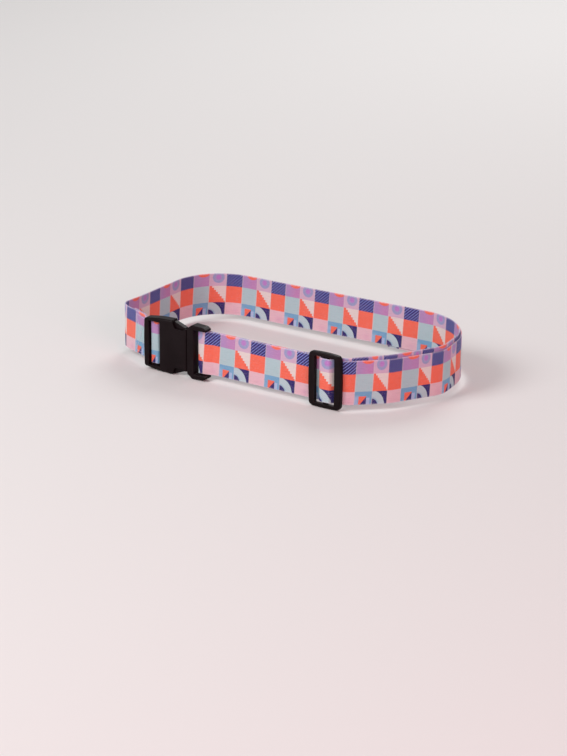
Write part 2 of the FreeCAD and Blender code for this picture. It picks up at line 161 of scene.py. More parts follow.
REPEAT = 60.0
COLUMN = 20.0
LOW_ROW = 15.0
TOP_ROW = 35.0
PRINT_ZERO = -58.0
SKEW = 0.065            # the print lies a little askew on the tape
SEAM = 0.5              # half the pale line between two columns
WEAVE = 1.5             # a yarn over and under

STRIPE_PERIOD = 4.0
STRIPE_START = 1.2
STRIPE_STOP = 2.05
STRIPE_LEAN = 1.08

# The print's shapes, as places along one repeat and heights above the lower edge.
CAP_MIDDLE = 33.0
CAP_LEVEL = 50.6
CAP_RADIUS = 4.4
CAP_SQUEEZE = 0.62
SPOT_LEFT = 24.8
SPOT_RIGHT = 33.4
SPOT_TOP = 9.6
DROP_LEFT = 33.6
DROP_RIGHT = 37.4
DROP_TOP = 8.0
STAIR_LEFT = 41.0
STAIR_TOP = 35.5
STAIR_STEP = 2.4
STAIR_FALL = 1.1
TARGET = (50.5, 45.5)
TARGET_RADIUS = 7.0
BULLSEYE_RADIUS = 3.2
ARCH = (39.5, -1.5)
ARCH_INSIDE = 8.2
ARCH_OUTSIDE = 17.2

# Where in the print the band is as it goes under the slider, over its bar and on as the tail.
SLIDER_PRINT_START = 157.0
SLIDER_PRINT_RIGHT_EDGE = 173.5
SLIDER_PRINT_END = 178.0
TAIL_PRINT_START = 182.8
# The tail's cells are drawn closer where it goes round the side: distance, place in the print.
TAIL_PRINT = [
    (17.4, 200.0), (36.6, 220.0), (52.7, 240.0), (68.8, 260.0), (89.3, 280.0),
    (104.7, 300.0), (121.0, 320.0), (138.0, 340.0), (153.0, 360.0),
]
# The same for the ply under it, as distances back from its front end and places from
# GIRTH_PRINT_RIGHT, which is a whole number of repeats.
GIRTH_PRINT_RIGHT = -720.0
GIRTH_PRINT = [
    (265.2, 200.0), (237.8, 180.0), (217.9, 160.0), (197.3, 140.0), (182.9, 120.0), (170.4, 100.0),
    (152.9, 80.0), (136.6, 60.0), (131.8, 40.0), (120.9, 20.0), (101.8, 0.0), (0.0, -101.8),
]

# sRGB, from 0 to 255.
INKS = {
    "navy": (26, 10, 98),
    "stripe": (142, 158, 238),
    "orange": (234, 100, 76),
    "pink": (218, 177, 188),
    "mauve": (200, 166, 190),
    "rose": (196, 116, 166),
    "lilac": (168, 131, 182),
    "mint": (167, 191, 197),
    "sky": (108, 158, 194),
    "pale sky": (160, 178, 212),
    "cream": (218, 204, 200),
    "ring": (146, 150, 190),
    "magenta": (178, 118, 190),
    "thread": (228, 216, 232),
}

# Linear RGBA.
BARE_CLOTH = (1.0, 0.97, 0.95, 1.0)
DARK_YARN = (0.02, 0.015, 0.04, 1.0)
ACETAL = (0.0060, 0.0026, 0.0034, 1.0)
ACETAL_PALER = (0.0105, 0.0060, 0.0072, 1.0)
ACETAL_EDGE_WEAR_AND_HIGHLIGHT = (0.075, 0.068, 0.073, 1.0)
FLOOR_PAINT = (0.72, 0.71, 0.70, 1.0)
SKY_LIGHT = (0.95, 0.95, 0.96, 1.0)


def ink(name):
    """A named ink as linear RGBA."""
    channels = [value / 255 for value in INKS[name]]
    linear = [c / 12.92 if c <= 0.04045 else ((c + 0.055) / 1.055) ** 2.4 for c in channels]
    return (*linear, 1.0)


# ---------------------------------------------------------------- node arithmetic


class Field:
    """A number that varies over a surface: one output of a material's node tree."""

    def __init__(self, tree, socket):
        self.tree = tree
        self.socket = socket

    def math(self, operation, *others):
        """One step of arithmetic, on this value and as many others as the operation takes."""
        node = self.tree.nodes.new("ShaderNodeMath")
        node.operation = operation
        self.tree.links.new(self.socket, node.inputs[0])
        for place, other in enumerate(others, start=1):
            if isinstance(other, Field):
                self.tree.links.new(other.socket, node.inputs[place])
            else:
                node.inputs[place].default_value = other
        return Field(self.tree, node.outputs[0])

    def __add__(self, other):
        return self.math("ADD", other)

    def __sub__(self, other):
        return self.math("SUBTRACT", other)

    def __mul__(self, other):
        return self.math("MULTIPLY", other)

    def wrapped(self, period):
        """The remainder by a period, never below 0."""
        return self.math("FLOORED_MODULO", period)

    def whole(self, size):
        """Which cell of this size the value lies in: 0, 1, 2..."""
        return (self * (1 / size)).math("FLOOR")

    def wave(self, period):
        """A sine of this period, from -1 to 1."""
        return (self * (2 * math.pi / period)).math("SINE")

    def remapped(self, low, high, new_low, new_high):
        """A smooth step from new_low at low to new_high at high."""
        node = self.tree.nodes.new("ShaderNodeMapRange")
        node.interpolation_type = "SMOOTHSTEP"
        self.tree.links.new(self.socket, node.inputs["Value"])
        ends = {"From Min": low, "From Max": high, "To Min": new_low, "To Max": new_high}
        for name, value in ends.items():
            node.inputs[name].default_value = value
        return Field(self.tree, node.outputs["Result"])

    def above(self, edge, blur=0.25):
        """1 above the edge, 0 below it, and smooth between."""
        return (self - edge).remapped(-blur, blur, 0, 1)

    def below(self, edge, blur=0.25):
        """1 below the edge, 0 above it, and smooth between."""
        return (self - edge).remapped(-blur, blur, 1, 0)

    def between(self, low, high, blur=0.25):
        """1 between two edges, 0 outside them."""
        return self.above(low, blur) * self.below(high, blur)


def away_from(across, up, centre_across, centre_up):
    """Distance from a point of the print."""
    across, up = across - centre_across, up - centre_up
    return (across * across + up * up).math("SQRT")


def combine(tree, across, up):
    """Two fields as the X and Y of a vector."""
    node = tree.nodes.new("ShaderNodeCombineXYZ")
    tree.links.new(across.socket, node.inputs["X"])
    tree.links.new(up.socket, node.inputs["Y"])
    return node.outputs["Vector"]


def noise_field(tree, vector, scale, detail=2.0, roughness=0.5):
    """Smooth noise around 0.5 at the vector's place."""
    node = tree.nodes.new("ShaderNodeTexNoise")
    node.inputs["Scale"].default_value = scale
    node.inputs["Detail"].default_value = detail
    node.inputs["Roughness"].default_value = roughness
    tree.links.new(vector, node.inputs["Vector"])
    return Field(tree, node.outputs["Fac"])


def random_of(tree, number):
    """A random number from 0 to 1 for each whole number, the same each time."""
    node = tree.nodes.new("ShaderNodeTexWhiteNoise")
    node.noise_dimensions = "1D"
    tree.links.new(number.socket, node.inputs["W"])
    return Field(tree, node.outputs["Value"])


class Layers:
    """Colours laid one over another, each through its own mask."""

    def __init__(self, tree, ground):
        self.tree = tree
        self.colour = ground

    def lay(self, colour, mask):
        """Covers what is there with a colour, as far as the mask goes from 0 to 1."""
        node = self.tree.nodes.new("ShaderNodeMix")
        node.data_type = "RGBA"
        self.tree.links.new(mask.socket, node.inputs["Factor"])
        for place, value in ((6, self.colour), (7, colour)):
            if isinstance(value, tuple):
                node.inputs[place].default_value = value
            else:
                self.tree.links.new(value, node.inputs[place])
        self.colour = node.outputs[2]


def empty_material(name):
    """A new material, with its node tree and its shader."""
    material = bpy.data.materials.new(name)
    material.use_nodes = True
    tree = material.node_tree
    shader = tree.nodes["Principled BSDF"]
    return material, tree, shader


def set_sockets(shader, **values):
    """Sets a shader's own sockets. A _ in a name stands for a space."""
    for name, value in values.items():
        shader.inputs[name.replace("_", " ")].default_value = value


def bump(tree, height, distance, strength=1.0, normal=None):
    """A normal tilted by a height field. distance is in metres."""
    node = tree.nodes.new("ShaderNodeBump")
    node.inputs["Distance"].default_value = distance
    node.inputs["Strength"].default_value = strength
    tree.links.new(height.socket, node.inputs["Height"])
    if normal is not None:
        tree.links.new(normal, node.inputs["Normal"])
    return node.outputs["Normal"]


# ---------------------------------------------------------------- the print's three columns


def diagonals(across, up, period):
    """Which part of a diagonal stripe a point is in, from 0 to the period."""
    return (across - up * STRIPE_LEAN).wrapped(period)


def print_first_column(cloth, across, up, chance):
    """Striped navy over orange over pink."""
    column = across.below(COLUMN)
    cloth.lay(ink("orange"), column)
    top = column * up.above(TOP_ROW)
    cloth.lay(ink("navy"), top)
    stripe = diagonals(across, up, STRIPE_PERIOD).between(STRIPE_START, STRIPE_STOP, 0.2)
    cloth.lay(ink("stripe"), top * stripe * (chance * 0.3 + 0.7))
    low = column * up.below(LOW_ROW)
    cloth.lay(ink("pink"), low)
    blush = away_from(across, up * 1.4, 13.0, 7.0).below(2.0, 7.0)
    cloth.lay(ink("rose"), low * blush * (chance * 0.4 + 0.1))


def print_second_column(cloth, across, up, chance):
    """Lilac with an orange cap over mint over sky blue with two small shapes."""
    column = across.between(COLUMN, 2 * COLUMN)
    cloth.lay(ink("mint"), column)
    top = column * up.above(TOP_ROW)
    cloth.lay(ink("lilac"), top)
    blush = across.above(29.0, 6.0) * up.below(47.0, 4.0)
    cloth.lay(ink("rose"), top * blush * (chance * 0.3 + 0.25))
    cap = away_from(across * CAP_SQUEEZE, up, CAP_MIDDLE * CAP_SQUEEZE, CAP_LEVEL)
    cloth.lay(ink("orange"), top * cap.below(CAP_RADIUS, 0.5))
    low = column * up.below(LOW_ROW)
    cloth.lay(ink("sky"), low)
    cloth.lay(ink("pale sky"), low * across.below(24.5, 2.5) * up.below(10.0, 3.0) * chance)
    spot = low * across.between(SPOT_LEFT, SPOT_RIGHT) * up.below(SPOT_TOP)
    cloth.lay(ink("orange"), spot)
    cloth.lay(ink("navy"), spot * (across - up * 0.8).above(26.2))
    drop = low * across.between(DROP_LEFT, DROP_RIGHT, 0.5) * up.below(DROP_TOP, 0.5)
    cloth.lay(ink("pale sky"), drop)


def print_third_column(cloth, across, up):
    """Pink with a target over a stepped diagonal over navy with a pale arch."""
    column = across.above(2 * COLUMN)
    cloth.lay(ink("cream"), column)
    tread = (across - STAIR_LEFT).whole(STAIR_STEP) * (-STAIR_STEP * STAIR_FALL) + STAIR_TOP
    cloth.lay(ink("orange"), column * (up - tread).below(0.0) * across.below(59.4))
    top = column * up.above(TOP_ROW)
    cloth.lay(ink("mauve"), top)
    ring = away_from(across, up, *TARGET)
    cloth.lay(ink("ring"), top * ring.below(TARGET_RADIUS, 0.5))
    cloth.lay(ink("magenta"), top * ring.below(BULLSEYE_RADIUS, 1.2))
    low = column * up.below(LOW_ROW)
    cloth.lay(ink("navy"), low)
    arch = away_from(across, up, *ARCH)
    band = low * arch.between(ARCH_INSIDE, ARCH_OUTSIDE)
    cloth.lay(ink("mint"), band)
    line = diagonals(across, up, 2.4).between(0.6, 1.4, 0.4)
    cloth.lay(ink("thread"), band * line * 0.3)
    cloth.lay(ink("sky"), low * arch.between(ARCH_INSIDE, ARCH_INSIDE + 1.4, 0.6) * 0.5)


def print_place(tree):
    """Where on the tape a point is, along and up, in millimetres. Where print_by_place is 1
    or -1 the print follows the point's X in the frame, so it stays put as a run stretches."""
    uv = tree.nodes.new("ShaderNodeUVMap")
    uv.uv_map = "print"
    parts = tree.nodes.new("ShaderNodeSeparateXYZ")
    tree.links.new(uv.outputs["UV"], parts.inputs["Vector"])
    by_place = tree.nodes.new("ShaderNodeAttribute")
    by_place.attribute_name = "print_by_place"
    place = tree.nodes.new("ShaderNodeTexCoord")
    spots = tree.nodes.new("ShaderNodeSeparateXYZ")
    tree.links.new(place.outputs["Object"], spots.inputs["Vector"])
    placed = Field(tree, spots.outputs["X"]) * Field(tree, by_place.outputs["Fac"])
    up = Field(tree, parts.outputs["Y"])
    along = Field(tree, parts.outputs["X"]) + placed * (1 / MM) - (up - WIDTH / 2) * SKEW
    return along, up


def wear_and_weave(tree, cloth, along, up):
    """Ink takes unevenly on the yarns, and is rubbed thin along the two edges."""
    flat = combine(tree, along, up)
    weave = along.wave(WEAVE) * up.wave(WEAVE)
    mottle = noise_field(tree, flat, 0.9, 3.0, 0.6)
    streak = noise_field(tree, combine(tree, along * 0.08, up * 1.4), 1.0, 2.0)
    heather = noise_field(tree, combine(tree, along + up * 0.6, up * 0.7), 0.42, 2.0, 0.6)
    cloth.lay(ink("pink"), heather.remapped(0.52, 0.75, 0, 0.14))
    cloth.lay(ink("mint"), heather.remapped(0.25, 0.48, 0.14, 0))
    bare = mottle.remapped(0.45, 0.8, 0, 0.1) + weave.remapped(0.2, 1, 0, 0.05)
    cloth.lay(BARE_CLOTH, bare)
    cloth.lay(DARK_YARN, streak.remapped(0.5, 0.8, 0, 0.16))
    edge = up.below(0.9, 0.6) + up.above(WIDTH - 0.9, 0.6)
    cloth.lay(ink("thread"), edge * mottle.remapped(0.35, 0.65, 0.1, 0.55))
    return weave, mottle


def printed_webbing():
    """Woven polyester tape with a geometric transfer print on both faces."""
    material, tree, shader = empty_material("printed_webbing")
    along, up = print_place(tree)

    # the cloth moves a little under the transfer, so no edge of the print is quite straight
    drift = noise_field(tree, combine(tree, along, up), 0.35, 1.0) - 0.5
    across = (along + drift * 0.5).wrapped(REPEAT)
    level = up + drift * 0.4
    chance = random_of(tree, along.whole(REPEAT))

    cloth = Layers(tree, ink("cream"))
    print_first_column(cloth, across, level, chance)
    print_second_column(cloth, across, level, chance)
    print_third_column(cloth, across, level)
    seam = across.wrapped(COLUMN)
    cloth.lay(ink("cream"), (seam.below(SEAM, 0.4) + seam.above(COLUMN - SEAM, 0.4)) * 0.35)
    weave, mottle = wear_and_weave(tree, cloth, along, up)

    tree.links.new(cloth.colour, shader.inputs["Base Color"])
    rough = mottle * 0.25 + 0.5
    tree.links.new(rough.socket, shader.inputs["Roughness"])
    height = weave * 0.5 + (along + up).wave(3.0) * 0.15 + mottle * 0.5
    tree.links.new(bump(tree, height, 0.00012), shader.inputs["Normal"])
    set_sockets(shader, Sheen_Weight=0.08, Sheen_Roughness=0.45, Specular_IOR_Level=0.2)
    return material


def sewing_thread():
    """Bonded polyester thread: a fine lay of strands with a dull shine."""
    material, tree, shader = empty_material("sewing_thread")
    place = tree.nodes.new("ShaderNodeTexCoord")
    spots = tree.nodes.new("ShaderNodeSeparateXYZ")
    tree.links.new(place.outputs["Object"], spots.inputs["Vector"])
    lay = (Field(tree, spots.outputs["X"]) + Field(tree, spots.outputs["Z"])).wave(0.45 * MM)
    fuzz = noise_field(tree, place.outputs["Object"], 1800.0, 2.0)
    cloth = Layers(tree, ink("thread"))
    cloth.lay(ink("lilac"), lay.remapped(-1, 1, 0.05, 0.35))
    cloth.lay(ink("navy"), fuzz.remapped(0.5, 0.8, 0, 0.2))
    tree.links.new(cloth.colour, shader.inputs["Base Color"])
    tree.links.new((fuzz * 0.3 + 0.4).socket, shader.inputs["Roughness"])
    tree.links.new(bump(tree, lay, 0.00006), shader.inputs["Normal"])
    set_sockets(shader, Sheen_Weight=0.2, Specular_IOR_Level=0.5)
    return material


def moulded_plastic():
    """Black acetal, spark-eroded to a fine satin grain; its edges are lightened, partly as rubbed
    wear and partly as a painted highlight.
    """
    material, tree, shader = empty_material("moulded_plastic")
    place = tree.nodes.new("ShaderNodeTexCoord")
    where = place.outputs["Object"]
    grain = noise_field(tree, where, 2600.0, 3.0, 0.7)
    flow = noise_field(tree, where, 45.0, 3.0, 0.55)
    scuff = noise_field(tree, where, 320.0, 4.0, 0.65)

    # an edge is where the rounded normal turns away from the face's own
    bevel = tree.nodes.new("ShaderNodeBevel")
    bevel.samples = 4
    bevel.inputs["Radius"].default_value = 0.5 * MM
    surface = tree.nodes.new("ShaderNodeNewGeometry")
    turned = tree.nodes.new("ShaderNodeVectorMath")
    turned.operation = "DOT_PRODUCT"
    tree.links.new(bevel.outputs["Normal"], turned.inputs[0])
    tree.links.new(surface.outputs["Normal"], turned.inputs[1])
    edge = Field(tree, turned.outputs["Value"]).remapped(0.8, 0.995, 1, 0)

    skin = Layers(tree, ACETAL)
    skin.lay(ACETAL_PALER, flow.remapped(0.35, 0.7, 0, 0.7))
    # the edges are lightened: partly rubbed wear, partly a painted highlight where they catch the
    # light
    skin.lay(ACETAL_EDGE_WEAR_AND_HIGHLIGHT, edge * scuff.remapped(0.4, 0.7, 0.1, 0.6))
    tree.links.new(skin.colour, shader.inputs["Base Color"])
    rough = flow * 0.16 + scuff * 0.12 + edge * 0.05 + 0.22
    tree.links.new(rough.socket, shader.inputs["Roughness"])
    rounded = bump(tree, grain * 0.6 + scuff * 0.4, 0.00003, 1.0, bevel.outputs["Normal"])
    tree.links.new(rounded, shader.inputs["Normal"])
    set_sockets(shader, Specular_IOR_Level=0.11, IOR=1.48)
    return material


# ---------------------------------------------------------------- routes


class Route:
    """A plan path of straight runs and tangent arcs, walked at short steps from end to end."""

    STEP = 1.6
    END_STEP = 0.03     # short, so that the cut end's shading stays off the faces
    ARC_STEP = math.radians(9)

    def __init__(self, corners, radii):
        self.stations = []
        self.corner_at = [0.0]
        self.length = 0.0
        points = [Vector(corner) for corner in corners]
        self.here = points[0]
        self.heading = (points[1] - points[0]).normalized()
        self.stations.append((self.here, self.heading, 0.0))
        self.step_to(self.here + self.heading * self.END_STEP, self.heading)
        for corner, after, radius in zip(points[1:], points[2:], radii[1:]):
            self.turn_at(corner, after, radius)
        self.run_to(points[-1] - self.heading * self.END_STEP)
        self.step_to(points[-1], self.heading)
        self.corner_at.append(self.length)

    def run_to(self, target):
        """A straight run, in equal steps."""
        gap = target - self.here
        count = max(1, math.ceil(gap.length / self.STEP))
        start = self.here
        for number in range(1, count + 1):
            self.step_to(start + gap * (number / count), self.heading)

    def turn_at(self, corner, after, radius):
        """A run up to the corner's arc, then the arc."""
        leaving = (after - corner).normalized()
        turn = self.heading.angle_signed(leaving) * -1
        reach = radius * math.tan(abs(turn) / 2)
        self.run_to(corner - self.heading * reach)
        side = math.copysign(1.0, turn)
        left = Vector((-self.heading.y, self.heading.x)) * side
        centre = self.here + left * radius
        spoke = self.here - centre
        first = self.heading.copy()
        by_angle = math.ceil(abs(turn) / self.ARC_STEP)
        by_length = math.ceil(abs(turn) * radius / self.STEP)
        count = max(2, by_angle, by_length)
        entered = self.length
        for number in range(1, count + 1):
            swing = Matrix.Rotation(turn * number / count, 2)
            self.step_to(centre + swing @ spoke, swing @ first)
        self.corner_at.append((entered + self.length) / 2)
        self.heading = leaving

    def step_to(self, point, heading):
        """Adds a station at the point."""
        self.length += (point - self.here).length
        self.here = point
        self.stations.append((point, heading.copy(), self.length))


def read_marks(marks, distance, smooth=False):
    """The value at a distance, between marks of (distance, value)."""
    if distance <= marks[0][0]:
        return marks[0][1]
    for (start, low), (end, high) in zip(marks, marks[1:]):
        if distance <= end:
            share = (distance - start) / (end - start)
            if smooth:
                share = share * share * (3 - 2 * share)
            return low + (high - low) * share
    return marks[-1][1]


# ---------------------------------------------------------------- webbing


def half_section():
    """Points from edge to edge of one face: (height above the middle, half thickness)."""
    half, bulge = WIDTH / 2, THICK / 2
    points = []
    for number in range(5):
        angle = math.radians(90 * number / 4)
        points.append((half - bulge + bulge * math.cos(angle), bulge * math.sin(angle)))
    groove = half - GROOVE_INSET
    inner = groove - 1.2
    dips = [(groove + 0.5, 0.0), (groove, GROOVE_DEPTH), (groove - 0.5, 0.02), (inner, 0.0)]
    points += [(height, bulge - sunk) for height, sunk in dips]
    count = 14
    middle = [(inner - 2 * inner * number / count, bulge) for number in range(1, count)]
    mirrored = [(-height, thick) for height, thick in reversed(points)]
    return points + middle + mirrored


FACE = half_section()
SECTION = FACE + [(height, -thick) for height, thick in reversed(FACE[1:-1])]
RING = len(SECTION)
FACE_STRIPS = len(FACE) - 1
OUTSIDE_ON_RIGHT = 1
OUTSIDE_ON_LEFT = -1
END_PRINT = (2.0, 20.0)     # the place in the print that colours the cut ends


def strip_points(route, lifts, side, slack, seed):
    """The section's points at each station of the route, in metres."""
    points = []
    for point, heading, distance in route.stations:
        right = Vector((heading.y, -heading.x))
        rise = read_marks(lifts, distance, smooth=True)
        sway = SWAY * noise.noise(Vector((distance / SWAY_LENGTH, seed, 0.0)))
        fade = max(0.0, min(1.0, distance / FADE, (route.length - distance) / FADE))
        for height, thick in SECTION:
            place = Vector((distance / RIPPLE_LENGTH, height / RIPPLE_HEIGHT, seed))
            wander = noise.noise(place) * 0.5 + 0.5
            spot = point + right * (thick + side * slack * wander * fade)
            points.append(Vector((spot.x, spot.y, height + rise + sway * fade)) * MM)
    return points


def strip_faces(route, prints, side, by_place):
    """The strip's faces, and for each of their corners its place in the print and its share of
    the frame's X. A run that stretches takes its print from that X and not from its length."""
    faces, uvs, shares = [], [], []
    outer_print = [read_marks(prints, distance) for _, _, distance in route.stations]
    inner_print = [-side * distance for _, _, distance in route.stations]
    xs = [point.x for point, _, _ in route.stations]
    for row in range(len(route.stations) - 1):
        for place in range(RING):
            after = (place + 1) % RING
            outward = (place < FACE_STRIPS) == (side == OUTSIDE_ON_RIGHT)
            marks = outer_print if outward else inner_print
            corners = ((row, place), (row, after), (row + 1, after), (row + 1, place))
            faces.append(tuple(corner_row * RING + corner for corner_row, corner in corners))
            for corner_row, corner in corners:
                value = marks[corner_row]
                share = 0.0
                if by_place:
                    share = 1.0 if outward else -1.0
                    rest = outer_print[corner_row] if outward else -xs[corner_row]
                    value = rest - share * xs[corner_row]
                uvs.append((value, SECTION[corner][0] + WIDTH / 2))
                shares.append(share)
    return faces, uvs, shares


def end_faces(route):
    """The faces that close the strip's two cut ends."""
    faces = []
    last = (len(route.stations) - 1) * RING
    for start, turned in ((0, False), (last, True)):
        for low in range(FACE_STRIPS):
            high = low + 1
            face = [start + low, start + (RING - low) % RING, start + RING - high, start + high]
            face = list(dict.fromkeys(face))
            faces.append(tuple(reversed(face)) if turned else tuple(face))
    return faces


def webbing(
    name, route, prints, lifts=((0.0, 0.0),), side=OUTSIDE_ON_RIGHT, by_place=False, slack=0.0
):
    """A closed woven strip along a route.

    prints give where in the print the outward face is, lifts raise the strip, side says which
    hand of the route faces outward, and slack is how far gentle ripples stand off outward."""
    faces, uvs, shares = strip_faces(route, prints, side, by_place)
    side_faces = len(faces)
    for face in end_faces(route):
        faces.append(face)
        uvs += [END_PRINT] * len(face)
        shares += [0.0] * len(face)
    mesh = bpy.data.meshes.new(name)
    mesh.from_pydata(strip_points(route, lifts, side, slack, len(name)), [], faces)
    layer = mesh.uv_layers.new(name="print")
    for corner, place in enumerate(uvs):
        layer.uv[corner].vector = place
    attribute = mesh.attributes.new("print_by_place", "FLOAT", "CORNER")
    attribute.data.foreach_set("value", shares)
    for number, polygon in enumerate(mesh.polygons):
        polygon.use_smooth = number < side_faces
    mesh.materials.append(PRINTED)
    piece = bpy.data.objects.new(name, mesh)
    bpy.context.scene.collection.objects.link(piece)
    return piece


def shifted_in(corners, radii, shift):
    """The right side's corners and radii, moved inward by a distance."""
    corners = [(BACK_END, FRONT), *corners, (BACK_END, corners[-1][1])]
    points = [Vector(corner) for corner in corners]
    moved, new_radii = [], []
    for before, corner, after, radius in zip(points, points[1:], points[2:], radii):
        entering = (corner - before).normalized()
        leaving = (after - corner).normalized()
        left_in = Vector((-entering.y, entering.x))
        left_out = Vector((-leaving.y, leaving.x))
        bisector = left_in + left_out
        moved.append(corner + bisector * (shift / (1 + left_in.dot(left_out))))
        new_radii.append(radius - shift)
    return moved, new_radii


def straight(start, end, depth):
    """A straight route along the front, from one X to another at one depth."""
    return Route([(start, depth), (end, depth)], [0.0, 0.0])


def front_marks(route, start, end):
    """The print's marks along a straight front run, where it isn't shifted or stretched."""
    return [(0.0, start - PRINT_ZERO), (route.length, end - PRINT_ZERO)]


PRINTED = printed_webbing()
THREAD = sewing_thread()
PLASTIC = moulded_plastic()


def make_inner_run():
    """The ply that goes back from the girth to the male bar."""
    route = straight(MALE_CUT, FIXED_CUT, INNER)
    marks = front_marks(route, MALE_CUT, FIXED_CUT)
    piece = webbing("inner_run_webbing_cloth", route, marks, by_place=True)
    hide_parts("inner_run_webbing")
    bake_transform(piece)


def make_buckle_side_run():
    """The front ply from the male bar to the middle."""
    route = straight(MALE_CUT, FIXED_CUT, OUTER)
    marks = front_marks(route, MALE_CUT, FIXED_CUT)
    piece = webbing("outer_run_buckle_side_cloth", route, marks, by_place=True, slack=RIPPLE)
    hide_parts("outer_run_webbing_buckle_side")
    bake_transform(piece)


def make_slider_side_run():
    """The front ply from the middle to the slider. Its print runs faster under the slider's edge."""
    route = straight(FIXED_CUT, LOOP_CUT_LEFT, OUTER)
    hidden = 8.0
    marks = [
        (0.0, FIXED_CUT - PRINT_ZERO),
        (route.length - hidden, LOOP_CUT_LEFT - hidden - PRINT_ZERO),
        (route.length, SLIDER_PRINT_START),
    ]
    piece = webbing("outer_run_slider_side_cloth", route, marks, by_place=True, slack=RIPPLE)
    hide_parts("outer_run_webbing_slider_side")
    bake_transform(piece)


def make_male_loop():
    """The turn of webbing round the male half's end bar."""
    route = Route([(MALE_CUT, INNER), *MALE_TURN, (MALE_CUT, OUTER)], MALE_TURN_RADII)
    end = MALE_CUT - PRINT_ZERO
    piece = webbing("male_loop_cloth", route, [(0.0, end - route.length), (route.length, end)])
    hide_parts("male_loop_webbing")
    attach(piece, "male_half")


def make_slider_loop():
    """The turn of webbing that climbs over the slider's middle bar."""
    corners = [(LOOP_CUT_LEFT, OUTER), *SLIDER_CLIMB, (LOOP_CUT_RIGHT, OUTER)]
    route = Route(corners, SLIDER_CLIMB_RADII)
    top_right = route.corner_at[3]
    marks = [
        (0.0, SLIDER_PRINT_START),
        (top_right, SLIDER_PRINT_RIGHT_EDGE),
        (route.length, SLIDER_PRINT_END),
    ]
    piece = webbing("slider_loop_cloth", route, marks)
    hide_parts("slider_loop_webbing")
    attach(piece, "slider")


def make_tail_lead():
    """The short stretch between the slider's turn and the tail."""
    route = straight(LOOP_CUT_RIGHT, TAIL_CUT, OUTER)
    marks = [(0.0, SLIDER_PRINT_END), (route.length, TAIL_PRINT_START)]
    lead = webbing("tail_lead_cloth", route, marks, by_place=True)
    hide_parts("tail_lead_webbing")
    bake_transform(lead)
    return lead


def make_tail():
    """The outer ply from the slider round the right side to its hem behind."""
    lead = make_tail_lead()
    right, radii = shifted_in(RIGHT_SIDE, RIGHT_RADII, THICK / 2)
    back = right[-1].y
    fold = back + 2 * HEM_RADIUS
    hem = [(BACK_END, back), (BACK_END, fold), (BACK_END + HEM_LENGTH, fold)]
    route = Route([(TAIL_CUT, OUTER), *right, *hem], [0.0, *radii, HEM_RADIUS, HEM_RADIUS])
    last_at, last_print = TAIL_PRINT[-1]
    end_print = last_print + route.length - last_at
    marks = [(0.0, TAIL_PRINT_START), *TAIL_PRINT, (route.length, end_print)]
    piece = webbing("tail_cloth", route, marks)
    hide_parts("tail_webbing")
    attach(piece, "strap")


def make_girth():
    """The inner ply: sewn round the female bar, round the case, and back to the front."""
    right, radii = shifted_in(RIGHT_SIDE, RIGHT_RADII, THICK / 2 + PITCH)
    shoulder = LEAVING_DEPTH + (SEWN_START.x - LEFT_SIDE) * math.tan(LEFT_SLOPE)
    left_corners = [(LEFT_SIDE, shoulder), (LEFT_SIDE, right[-1].y)]
    corners = [*FEMALE_TURN, SEWN_START, *left_corners, *reversed(right), (FIXED_CUT, INNER)]
    bends = [*FEMALE_TURN_RADII, SHOULDER_RADIUS, BACK_LEFT_RADIUS, *reversed(radii)]
    route = Route(corners, bends)

    at = route.corner_at
    enters, bar_right, bar_left, leaves, back_left = at[1], at[3], at[4], at[6], at[8]
    right_corners = at[9:13]
    # the sewn return, the bar's two front corners, then the left run
    prints = [(0.0, 150.0), (bar_right, 98.0), (bar_left, 84.0)]
    prints += [(leaves, 46.0), (leaves + 7.1, 40.0), (leaves + 50.0, 0.0)]
    for back_from_end, mark in GIRTH_PRINT:
        prints.append((route.length - back_from_end, GIRTH_PRINT_RIGHT + mark))
    # the return climbs as the left run in front of it does
    lifts = [(enters - away, rise) for away, rise in reversed(LEFT_RISE[:2])]
    lifts += [(leaves + away, rise) for away, rise in LEFT_RISE]
    lifts += [(back_left, 0.0), *zip(right_corners, RIGHT_RISE)]
    lifts.append((right_corners[-1] + RIGHT_RISE_FADES, 0.0))

    piece = webbing("girth_cloth", route, prints, lifts, side=OUTSIDE_ON_LEFT)
    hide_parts("girth_webbing")
    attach(piece, "strap")


# ---------------------------------------------------------------- stitching


def add_stitch(vertices, faces, start, end, out):
    """One stitch: a short arched thread whose ends go down into the webbing."""
    along = end - start
    sideways = along.cross(out).normalized()
    rings, sides = 7, 8
    base = len(vertices)
    for row in range(rings):
        share = row / (rings - 1)
        arch = math.sin(math.pi * share)
        middle = start + along * (0.04 + 0.92 * share) + out * (STITCH_RISE * arch - STITCH_SUNK)
        thick = THREAD_RADIUS * (0.72 + 0.28 * arch)
        for number in range(sides):
            angle = 2 * math.pi * number / sides
            vertices.append(middle + (sideways * math.cos(angle) + out * math.sin(angle)) * thick)
    for row in range(rings - 1):
        for number in range(sides):
            after = (number + 1) % sides
            low, high = base + row * sides, base + (row + 1) * sides
            faces.append((low + number, high + number, high + after, low + after))
    faces.append(tuple(base + number for number in range(sides)))
    faces.append(tuple(base + (rings - 1) * sides + number for number in reversed(range(sides))))


def stitch_line(vertices, faces, start, end, out):
    """A straight line of equal stitches."""
    count = max(1, round((end - start).length / STITCH))
    for number in range(count):
        first = start.lerp(end, number / count)
        last = start.lerp(end, (number + 1) / count)
        add_stitch(vertices, faces, first, last, out)


